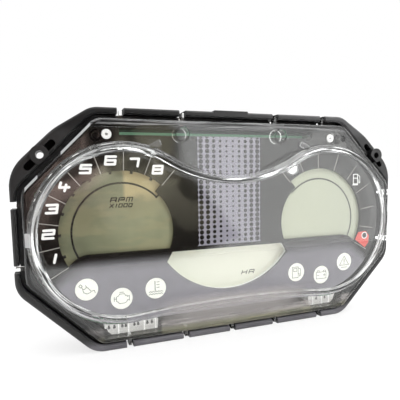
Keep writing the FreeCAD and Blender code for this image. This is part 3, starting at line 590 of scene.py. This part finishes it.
# glyph strokes in a unit box, (x, z) from 0 to 1
LOOP = [(0, 1), (1, 1), (1, 0), (0, 0), (0, 1)]
GLYPHS = {
    "1": [[(0.62, 1), (0.38, 0)]],
    "2": [[(0, 1), (1, 1), (1, 0.52), (0, 0.52), (0, 0), (1, 0)]],
    "3": [[(0, 1), (1, 1), (1, 0), (0, 0)], [(0.30, 0.52), (1, 0.52)]],
    "4": [[(0.10, 1), (0, 0.40), (1.08, 0.40)], [(0.72, 0.72), (0.62, -0.06)]],
    "5": [[(1, 1), (0.05, 1), (0, 0.55), (1, 0.55), (1, 0), (0, 0)]],
    "6": [[(1, 1), (0, 1), (0, 0), (1, 0), (1, 0.52), (0, 0.52)]],
    "7": [[(0, 1), (1, 1), (0.95, 0)]],
    "8": [LOOP, [(0, 0.52), (1, 0.52)]],
    "0": [LOOP],
    "R": [[(0, 0), (0, 1), (1, 1), (1, 0.42), (0, 0.42)], [(0.75, 0.42), (1.05, 0)]],
    "P": [[(0, 0), (0, 1), (1, 1), (1, 0.42), (0.25, 0.42)]],
    "M": [[(0, 0), (0, 1), (1, 1), (1, 0)], [(0.5, 1), (0.5, 0)]],
    "X": [[(0, 0), (1, 1)], [(0, 1), (1, 0)]],
    "I": [[(0.5, 0), (0.5, 1)]],
    "H": [[(0, 0), (0, 1)], [(1, 0), (1, 1)], [(0, 0.5), (1, 0.5)]],
}


def arc_points(x, z, radius, start, sweep, steps):
    """Points on an arc, both ends included; angles in radians."""
    angles = [start + sweep * k / steps for k in range(steps + 1)]
    return [(x + radius * math.cos(a), z + radius * math.sin(a)) for a in angles]


def circle(x, z, radius, count):
    return arc_points(x, z, radius, 0.0, 2 * math.pi, count)[:-1]


def dial_point(side, radius, degrees):
    """Point on a dial, side -1 left or 1 right; the right dial mirrors the left."""
    angle = math.radians(degrees)
    return side * (DIAL_X - radius * math.cos(angle)), radius * math.sin(angle)


class Print:
    """Flat shapes in (x, z) about an origin, extruded forwards from y as one object."""

    def __init__(self, y):
        self.y, self.origin = y, (0.0, 0.0)
        self.verts, self.faces = [], []
        self.strokes = 0

    def poly(self, points, thickness=INK):
        area = sum(points[i - 1][0] * points[i][1] - points[i][0] * points[i - 1][1]
                   for i in range(len(points)))
        if area < 0:
            points = points[::-1]
        count, base = len(points), len(self.verts)
        for y in (self.y - thickness, self.y):
            self.verts += [((x + self.origin[0]) / 1000.0, (y - EAR_Y) / 1000.0,
                            (z + self.origin[1] - EAR_Z) / 1000.0) for x, z in points]
        self.faces.append([base + i for i in range(count)])
        self.faces.append([base + count + i for i in range(count)][::-1])
        for i in range(count):
            j = (i + 1) % count
            self.faces.append([base + i, base + count + i, base + count + j, base + j])

    def stroke(self, start, end, width, thickness=INK):
        """Straight stroke with round ends."""
        angle = math.atan2(end[1] - start[1], end[0] - start[0])
        self.poly(arc_points(*end, width / 2, angle - math.pi / 2, math.pi, 6)
                  + arc_points(*start, width / 2, angle + math.pi / 2, math.pi, 6), thickness)

    def line(self, points, width=ICON_STROKE, closed=False):
        if closed:
            points = points + [points[0]]
        for start, end in zip(points[:-1], points[1:]):
            self.strokes = (self.strokes + 1) % 7
            self.stroke(start, end, width, INK + LAYER_STEP * self.strokes)

    def band(self, x, z, outer, inner, start, end, steps):
        """Part of a ring; angles in degrees."""
        start, sweep = math.radians(start), math.radians(end - start)
        self.poly(arc_points(x, z, outer, start, sweep, steps)
                  + arc_points(x, z, inner, start, sweep, steps)[::-1])

    def glyph(self, char, x, z, width, height, stroke, slant):
        """Character centred on (x, z); width and height are outer sizes."""
        width, height = width - stroke, height - stroke
        for path in GLYPHS[char]:
            self.line([(x - width / 2 + u * width + (v - 0.5) * height * slant,
                        z - height / 2 + v * height) for u, v in path], stroke)

    def make(self, name, material):
        mesh = bpy.data.meshes.new(name)
        mesh.from_pydata(self.verts, [], self.faces)
        mesh.validate()
        mesh.update()
        obj = bpy.data.objects.new(name, mesh)
        SCENE.collection.objects.link(obj)
        mesh.materials.append(material)
        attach(obj, "root")


# ---- scales: numeral, x, z, width ----
NUMERALS = (
    ("1", -114.6, -13.2, 3.4), ("2", -117.6, 1.6, 7.4), ("3", -115.0, 16.6, 7.4),
    ("4", -107.6, 29.6, 6.6), ("5", -94.9, 39.8, 7.4), ("6", -79.9, 44.9, 7.4),
    ("7", -65.2, 43.6, 6.6), ("8", -50.4, 39.0, 7.4),
)
DIVIDERS = (210.0, 190.0, 170.4, 150.2, 129.8, 108.7, 87.9, 67.9, 48.3)    # degrees
DIVIDER_IN, DIVIDER_OUT = 38.9, 51.3                                       # radii
NOTCH_RADIUS = 38.1
# corners of a notch: along the rim, and outwards from its radius
NOTCH = ((-0.9, -1.0), (0.9, -1.0), (0.9, 1.2), (-0.9, 1.2))
ARC_START, ARC_END = 210.0, 43.6                                           # degrees


def scales():
    numerals = Print(FACE_Y)
    for char, x, z, width in NUMERALS:
        numerals.glyph(char, x, z, width, height=6.2, stroke=1.55, slant=0.16)
    numerals.make("scale_numerals", WHITE)

    dividers = Print(FACE_Y)
    for side in (-1, 1):
        for degrees in DIVIDERS:
            dividers.stroke(dial_point(side, DIVIDER_IN, degrees),
                            dial_point(side, DIVIDER_OUT, degrees), width=0.5)
    dividers.make("scale_dividers", LINE)

    # half-step notches on the outer edge of the tachometer window
    notches = Print(LCD_Y)
    for k in range(8):
        angle = math.radians(200 - 20 * k)
        cos, sin = math.cos(angle), math.sin(angle)
        notches.poly([(-DIAL_X + (NOTCH_RADIUS + out) * cos - along * sin,
                       (NOTCH_RADIUS + out) * sin + along * cos) for along, out in NOTCH])
    notches.make("scale_notches", BLACK)


def dial_arc(name, side, outer, inner, start, end, material):
    """Arc between the bar graph and the read-out, with a tick at its upper end."""
    arc = Print(LCD_Y)
    arc.band(side * DIAL_X, 0, outer, inner, start, end, steps=72)
    arc.stroke(dial_point(side, 30.6, ARC_END), dial_point(side, 33.2, ARC_END), width=1.0)
    arc.make(name, material)


def legends():
    """RPM x1000 on the left glass, HR on the centre glass."""
    legend = Print(LCD_Y)
    for i, char in enumerate("RPM"):
        legend.glyph(char, -78.6 + 4.95 * i, 20.6, width=4.1, height=3.1,
                     stroke=0.62 if char == "M" else 0.78, slant=0.3)
    for char, x in zip("XI000", (-79.9, -77.0, -74.4, -71.3, -68.2)):
        legend.glyph(char, x, 16.9, width=1.2 if char == "I" else 2.6, height=2.6,
                     stroke=0.58, slant=0.3)
    legend.make("tach_legend", BLACK)

    legend = Print(INFO_Y)
    for char, x in (("H", 13.2), ("R", 19.0)):
        legend.glyph(char, x, -35.2, width=4.3, height=3.1, stroke=0.62, slant=0.4)
    legend.make("info_legend", DARK_GREY)


scales()
dial_arc("tach_arc", -1, 31.65, 30.45, ARC_END, ARC_START, BLACK)
dial_arc("fuel_arc", 1, 31.6, 30.5, 180 - ARC_START, 180 - ARC_END, ARC)
legends()

# ---- halftone band between the dials ----
BAND_X, BAND_LOW, BAND_TOP = 24.3, -12.5, 60.45
DOTS_LOW, DOTS_TOP = BAND_LOW + 0.05, BAND_TOP - 0.05
# x and radius of the dots in each column, mirrored
DOT_COLUMNS = ((2.33, 0.74), (7.0, 1.00), (11.7, 1.27), (16.35, 1.50), (21.0, 1.62))
DOT_ROWS = [57.6 - 3.39 * k for k in range(-1, 21)]
EDGE_DOT_X, EDGE_DOT_RADIUS = 25.75, 2.75


def clip_height(points):
    return [(x, min(max(z, DOTS_LOW), DOTS_TOP)) for x, z in points]


def halftone_dots(material):
    dots = Print(SECOND_Y)
    for row, z in enumerate(DOT_ROWS):
        thickness = INK + LAYER_STEP * (row % 2)
        for x, radius in DOT_COLUMNS:
            for side in (-1, 1):
                dots.poly(clip_height(circle(side * x, z, radius, 18)), thickness)
        # outermost column: only the part of each dot that bites into the band
        bite = arc_points(EDGE_DOT_X, z, EDGE_DOT_RADIUS, math.radians(105),
                          math.radians(150), 12)
        bite = clip_height([point for point in bite if point[0] < BAND_X - 0.01])
        edge_x = BAND_X + 0.04
        bite = [(edge_x, bite[0][1])] + bite + [(edge_x, bite[-1][1])]
        for side in (-1, 1):
            dots.poly([(side * x, z) for x, z in bite], thickness)
    dots.make("halftone_dots", material)


ground = Print(FACE_Y)
ground.poly([(-BAND_X, BAND_LOW), (BAND_X, BAND_LOW), (BAND_X, BAND_TOP), (-BAND_X, BAND_TOP)])
ground.make("halftone_ground", SILVER)
HALFTONE = dial_print("halftone_black", silver_chin=False)
halftone_dots(HALFTONE)


# ---- warning icons on the lamp discs ----
def oil_can(icon):
    icon.line([(-4.6, 2.6), (-3.4, 3.4), (-2.5, 2.2), (-3.7, 1.4)], closed=True)
    icon.line([(-3.0, 1.8), (-2.4, 0.4), (-1.2, 0.2), (-0.6, 1.2), (0.8, 1.0), (2.6, -1.4),
               (4.6, -0.9), (5.0, -2.6)])
    icon.line([(-2.4, 0.4), (-1.8, -1.8), (0.2, -2.8), (2.2, -2.0), (2.6, -1.4)])
    icon.line([(-0.6, 2.6), (0.2, 1.2)])


def engine(icon):
    icon.line([(-3.4, 1.2), (-2.0, 1.8), (-1.4, 2.9), (1.8, 2.9), (2.4, 1.7), (3.4, 1.7),
               (3.6, 0.9), (4.8, 1.4), (4.8, -1.6), (3.6, -1.2), (3.0, -2.4), (1.6, -3.2),
               (-1.6, -3.2), (-2.6, -2.0), (-3.4, -1.6)], closed=True)
    icon.line([(-4.8, 1.2), (-4.8, -1.4)])
    icon.line([(-4.8, 0.0), (-3.4, 0.0)])
    icon.line([(-1.2, 4.0), (1.4, 4.0)])


def coolant(icon):
    icon.line([(-0.5, -1.4), (-0.5, 4.6)], width=0.62)
    for z in (4.1, 2.3, 0.5):
        icon.line([(0.6, z), (2.4, z)])
    for z in (-2.2, -3.7):
        icon.line([(-4.6 + 0.92 * k, z + (0.35 if k % 2 else -0.35)) for k in range(11)])


def fuel_pump(icon):
    icon.line([(-3.4, -4.2), (-3.4, 3.9), (1.6, 3.9), (1.6, -4.2)], closed=True)
    icon.line([(-2.3, 2.9), (0.5, 2.9), (0.5, 0.7), (-2.3, 0.7)], closed=True)
    icon.line([(1.6, 3.0), (3.6, 2.2), (3.8, -2.6), (2.8, -3.4), (2.4, -1.2), (1.6, -1.0)])


def battery(icon):
    icon.line([(-4.4, -3.0), (-4.4, 2.0), (4.4, 2.0), (4.4, -3.0)], closed=True)
    for x in (-2.8, 2.8):
        icon.line([(x - 1.0, 2.0), (x - 1.0, 3.2), (x + 1.0, 3.2), (x + 1.0, 2.0)])
        icon.line([(x - 0.9, -0.4), (x + 0.9, -0.4)])
    icon.line([(2.8, -1.3), (2.8, 0.5)])


def warning(icon):
    icon.line([(-4.4, -2.6), (0.0, 4.4), (4.4, -2.6)], closed=True)
    icon.line([(0.0, 2.0), (0.0, -0.4)], width=ICON_STROKE * 1.5)
    icon.poly(circle(0.0, -1.5, 0.4, 10))
    icon.line([(-2.6, -4.4), (2.6, -4.4)])


icons = Print(ICON_Y)
for draw, x, z in ((oil_can, -97.3, -34.1), (engine, -76.0, -42.3), (coolant, -53.7, -38.2),
                   (fuel_pump, 53.7, -38.2), (battery, 76.0, -42.3), (warning, 97.3, -34.1)):
    icons.origin = (x, z)
    draw(icons)
icons.make("lamp_icons", GREY)

# ---- marks at the two ends of the fuel scale ----
full = Print(FACE_Y)
full.origin = (107.3, 29.8)
full.poly([(-3.6, -4.5), (-3.6, -3.8), (1.9, -3.8), (1.9, -4.5)])
full.line([(-2.8, -3.4), (-2.8, 4.0), (1.2, 4.0), (1.2, -3.4)], width=0.62, closed=True)
full.line([(-2.8, 1.0), (1.2, 1.0)], width=0.55)
full.line([(1.2, 3.8), (3.3, 2.4), (3.5, -2.4), (2.5, -2.9), (2.3, -0.6), (1.2, -0.4)],
          width=0.5)
full.make("full_mark", WHITE)

segment = Print(FACE_Y)
segment.poly([(107.3, -17.2), (117.0, -24.2), (120.4, -20.6), (121.0, -15.0),
              (117.6, -11.2), (110.4, -11.6)])
segment.make("low_fuel_segment", RED)

LOW_RING = (116.4, -14.5)
LOW_RING_OUT, LOW_RING_IN = 2.75, 2.05
ring = Print(SECOND_Y)
for start in (0, 180):
    ring.band(*LOW_RING, LOW_RING_OUT, LOW_RING_IN, start, start + 180, steps=20)
ring.make("low_fuel_ring", WHITE)
field = Print(SECOND_Y)
field.poly(circle(*LOW_RING, LOW_RING_IN, 24))
field.make("low_fuel_ring_field", HALFTONE)

# ============================ stage, light, camera ==========================
FLOOR_HALF = 6.0          # metres
CARD_LEVEL, TABLE_LEVEL, BACK_LEVEL = 2.1, 2.0, 1.0
DEGREES = 57.2958         # per radian


def floor():
    """White table top; past its front edge reflections see the room."""
    size, height = FLOOR_HALF, CAD_BOX[0].z
    mesh = bpy.data.meshes.new("stage_floor")
    corners = [(-size, -size), (size, -size), (size, size), (-size, size)]
    mesh.from_pydata([(x, y, height) for x, y in corners], [], [(0, 1, 2, 3)])
    obj = bpy.data.objects.new("stage_floor", mesh)
    SCENE.collection.objects.link(obj)
    mat = new_material("stage_floor")
    white = mat.principled(colour=(0.93, 0.93, 0.93), rough=0.8, spec=0.1)
    glow = mat.node("Emission", {0: (1, 1, 1), 1: 1.02})
    camera_ray = mat.node("LightPath", output="Is Camera Ray")
    surface = (camera_ray * 0.72).mix_shader(white, glow)
    beyond = mat.xyz()[1].fade(-255.0, -285.0) * (1.0 - camera_ray)
    shader = beyond.mix_shader(surface, mat.node("BsdfTransparent"))
    mesh.materials.append(mat.finish(shader))


# grey level of the dark opening by height: position on the ramp, level
ROOM_ENDS = (0.03, 0.45)
ROOM_LEVELS = ((0.10, 0.04), (0.18, 0.30), (0.30, 0.55), (0.38, 1.0), (0.52, 1.05),
               (0.70, 0.6))


def room_light(sky, direction, azimuth, elevation):
    """Blotchy, warm light of the room seen through the opening of the tent."""
    def blotches(scale, offset):
        vector = sky.node("Mapping", {
            "Location": (offset, offset * 0.6, offset * 1.7), "Vector": direction})
        return sky.node("TexNoise", {"Scale": scale, "Detail": 2.5, "Vector": vector})

    height = (elevation + 13.0).math("DIVIDE", 37.0, clamp=True)
    ramp = sky.node("ValToRGB", {0: height})
    stops = ramp.node.color_ramp.elements
    for stop, position, level in zip(stops, (0.0, 1.0), ROOM_ENDS):
        stop.position, stop.color = position, (level, level, level, 1)
    for position, level in ROOM_LEVELS:
        stops.new(position).color = (level, level, level, 1)
    blot = blotches(12.0, 0.0).fade(0.40, 0.58, to=(0.30, 1.35))
    gap = azimuth.window((3.6, 4.6), (8.6, 7.6)) * elevation.fade(0.0, 1.6)
    blot = blot * (1.0 - gap * 0.75)
    hue = (azimuth + blotches(7.0, 3.0) * 12.0).fade(9.0, 15.0)
    hue = hue.mix((1.0, 0.74, 0.66), (1.0, 0.93, 0.70))
    warm = azimuth.window((7.5, 10.5), (17.0, 14.0)) * elevation.window((-4.5, -2.5), (2.0, 0.5))
    # slanting streak low on the left
    distance = abs(elevation - (azimuth * 0.42 - 2.2))
    streak = distance.fade(1.7, 0.7) * azimuth.window((-4.0, -1.0), (8.0, 6.0))
    blot = blot * elevation.fade(2.0, 4.0, to=(1.0, 0.6)) + (warm * 0.5 + streak * 1.3)
    level = sky.node("RGBToBW", {0: ramp}) * blot
    return sky.node("VectorMath", {0: hue, "Scale": level}, operation="SCALE")


def world():
    """Light tent with a dark opening in front; camera rays see plain white."""
    studio = bpy.data.worlds.new("studio")
    SCENE.world = studio
    sky = Graph(studio, "OutputWorld")
    direction = sky.node("TexCoord", output="Generated")
    x, y, z = sky.split(direction)
    # degrees: azimuth to the right of straight ahead of the dial (-y), and elevation
    azimuth = x.math("ARCTAN2", y * -1.0) * DEGREES
    elevation = z.math("ARCSINE") * DEGREES
    # dark opening: its right edge leans and its lower edge rises to the right
    lean = (2.5 - elevation) * 0.75
    right = (azimuth - lean.max(0.0)).fade(15.2, 18.6)
    across = azimuth.fade(-56.0, -46.0) * (1.0 - right)
    above_table = elevation - (azimuth - 15.0).max(0.0) * 0.34
    opening = across * (above_table.fade(-13.4, -11.6) * elevation.fade(36.0, 26.0))
    room = room_light(sky, direction, azimuth, elevation)
    # bright card on the right, bright table in front, white behind and above
    card = right * azimuth.fade(78.0, 66.0)
    card = card * elevation.window((-60.0, -40.0), (60.0, 40.0))
    table = above_table.fade(-11.6, -13.4) * azimuth.fade(-1.0, 7.0, to=(0.15, 1.0))
    table = table * (y.fade(0.0, -0.3) * elevation.fade(-60.0, -40.0))
    back = y.fade(-0.15, 0.25) * x.fade(-0.45, 0.35, to=(0.12, 1.0))
    tent = elevation.fade(20.0, 70.0, to=(0.60, 1.5)) + back * BACK_LEVEL
    tent = tent.max(card * CARD_LEVEL).max(table * TABLE_LEVEL)
    # small bright lamp that shows as one spot on the right of the dial
    aside = azimuth - 33.3
    above = elevation - 0.9
    distance = (aside * aside + above * above) ** 0.5
    tent = tent + distance.fade(1.0, 0.7, to=(0.0, 9.0))
    grey = sky.node("CombineColor", {0: tent, 1: tent, 2: tent})
    seen = sky.node("Background", {0: opening.mix(grey, room)})
    white = sky.node("Background", {0: (1, 1, 1), 1: 1.0})
    sky.finish(sky.node("LightPath", output="Is Camera Ray").mix_shader(seen, white))


def soft_key():
    """Large soft light above, in front and to the right."""
    light = bpy.data.lights.new("soft_key", "AREA")
    light.shape = "RECTANGLE"
    light.size, light.size_y = 0.9, 0.7
    light.energy = 5.0
    obj = bpy.data.objects.new("soft_key", light)
    obj.location = (0.35, -0.55, 1.05)
    aim = Vector((0.0, 0.0, -0.05)) - Vector(obj.location)
    obj.rotation_euler = aim.to_track_quat("-Z", "Y").to_euler()
    SCENE.collection.objects.link(obj)


def camera():
    """Camera in front of the left dial, turned right and slightly down."""
    yaw, pitch, roll = (math.radians(angle) for angle in (19.6235, -5.518, -0.9805))
    ahead = Vector((math.sin(yaw), math.cos(yaw), 0))
    level_right = Vector((math.cos(yaw), -math.sin(yaw), 0))
    vertical = Vector((0, 0, 1))
    forward = ahead * math.cos(pitch) + vertical * math.sin(pitch)
    pitched_up = vertical * math.cos(pitch) - ahead * math.sin(pitch)
    right = level_right * math.cos(roll) + pitched_up * math.sin(roll)
    up = pitched_up * math.cos(roll) - level_right * math.sin(roll)
    data = bpy.data.cameras.new("camera")
    data.sensor_width, data.lens = 36.0, 35.15733
    data.shift_x, data.shift_y = 0.007725, 0.035075
    data.clip_start, data.clip_end = 0.01, 30.0
    obj = bpy.data.objects.new("camera", data)
    matrix = Matrix((right, up, -forward)).transposed().to_4x4()
    matrix.translation = Vector((-0.11161, -0.25483, -0.01365))
    obj.matrix_world = matrix
    SCENE.collection.objects.link(obj)
    SCENE.camera = obj


floor()
world()
soft_key()
camera()
SCENE.view_settings.view_transform = "Standard"
SCENE.view_settings.look = "None"
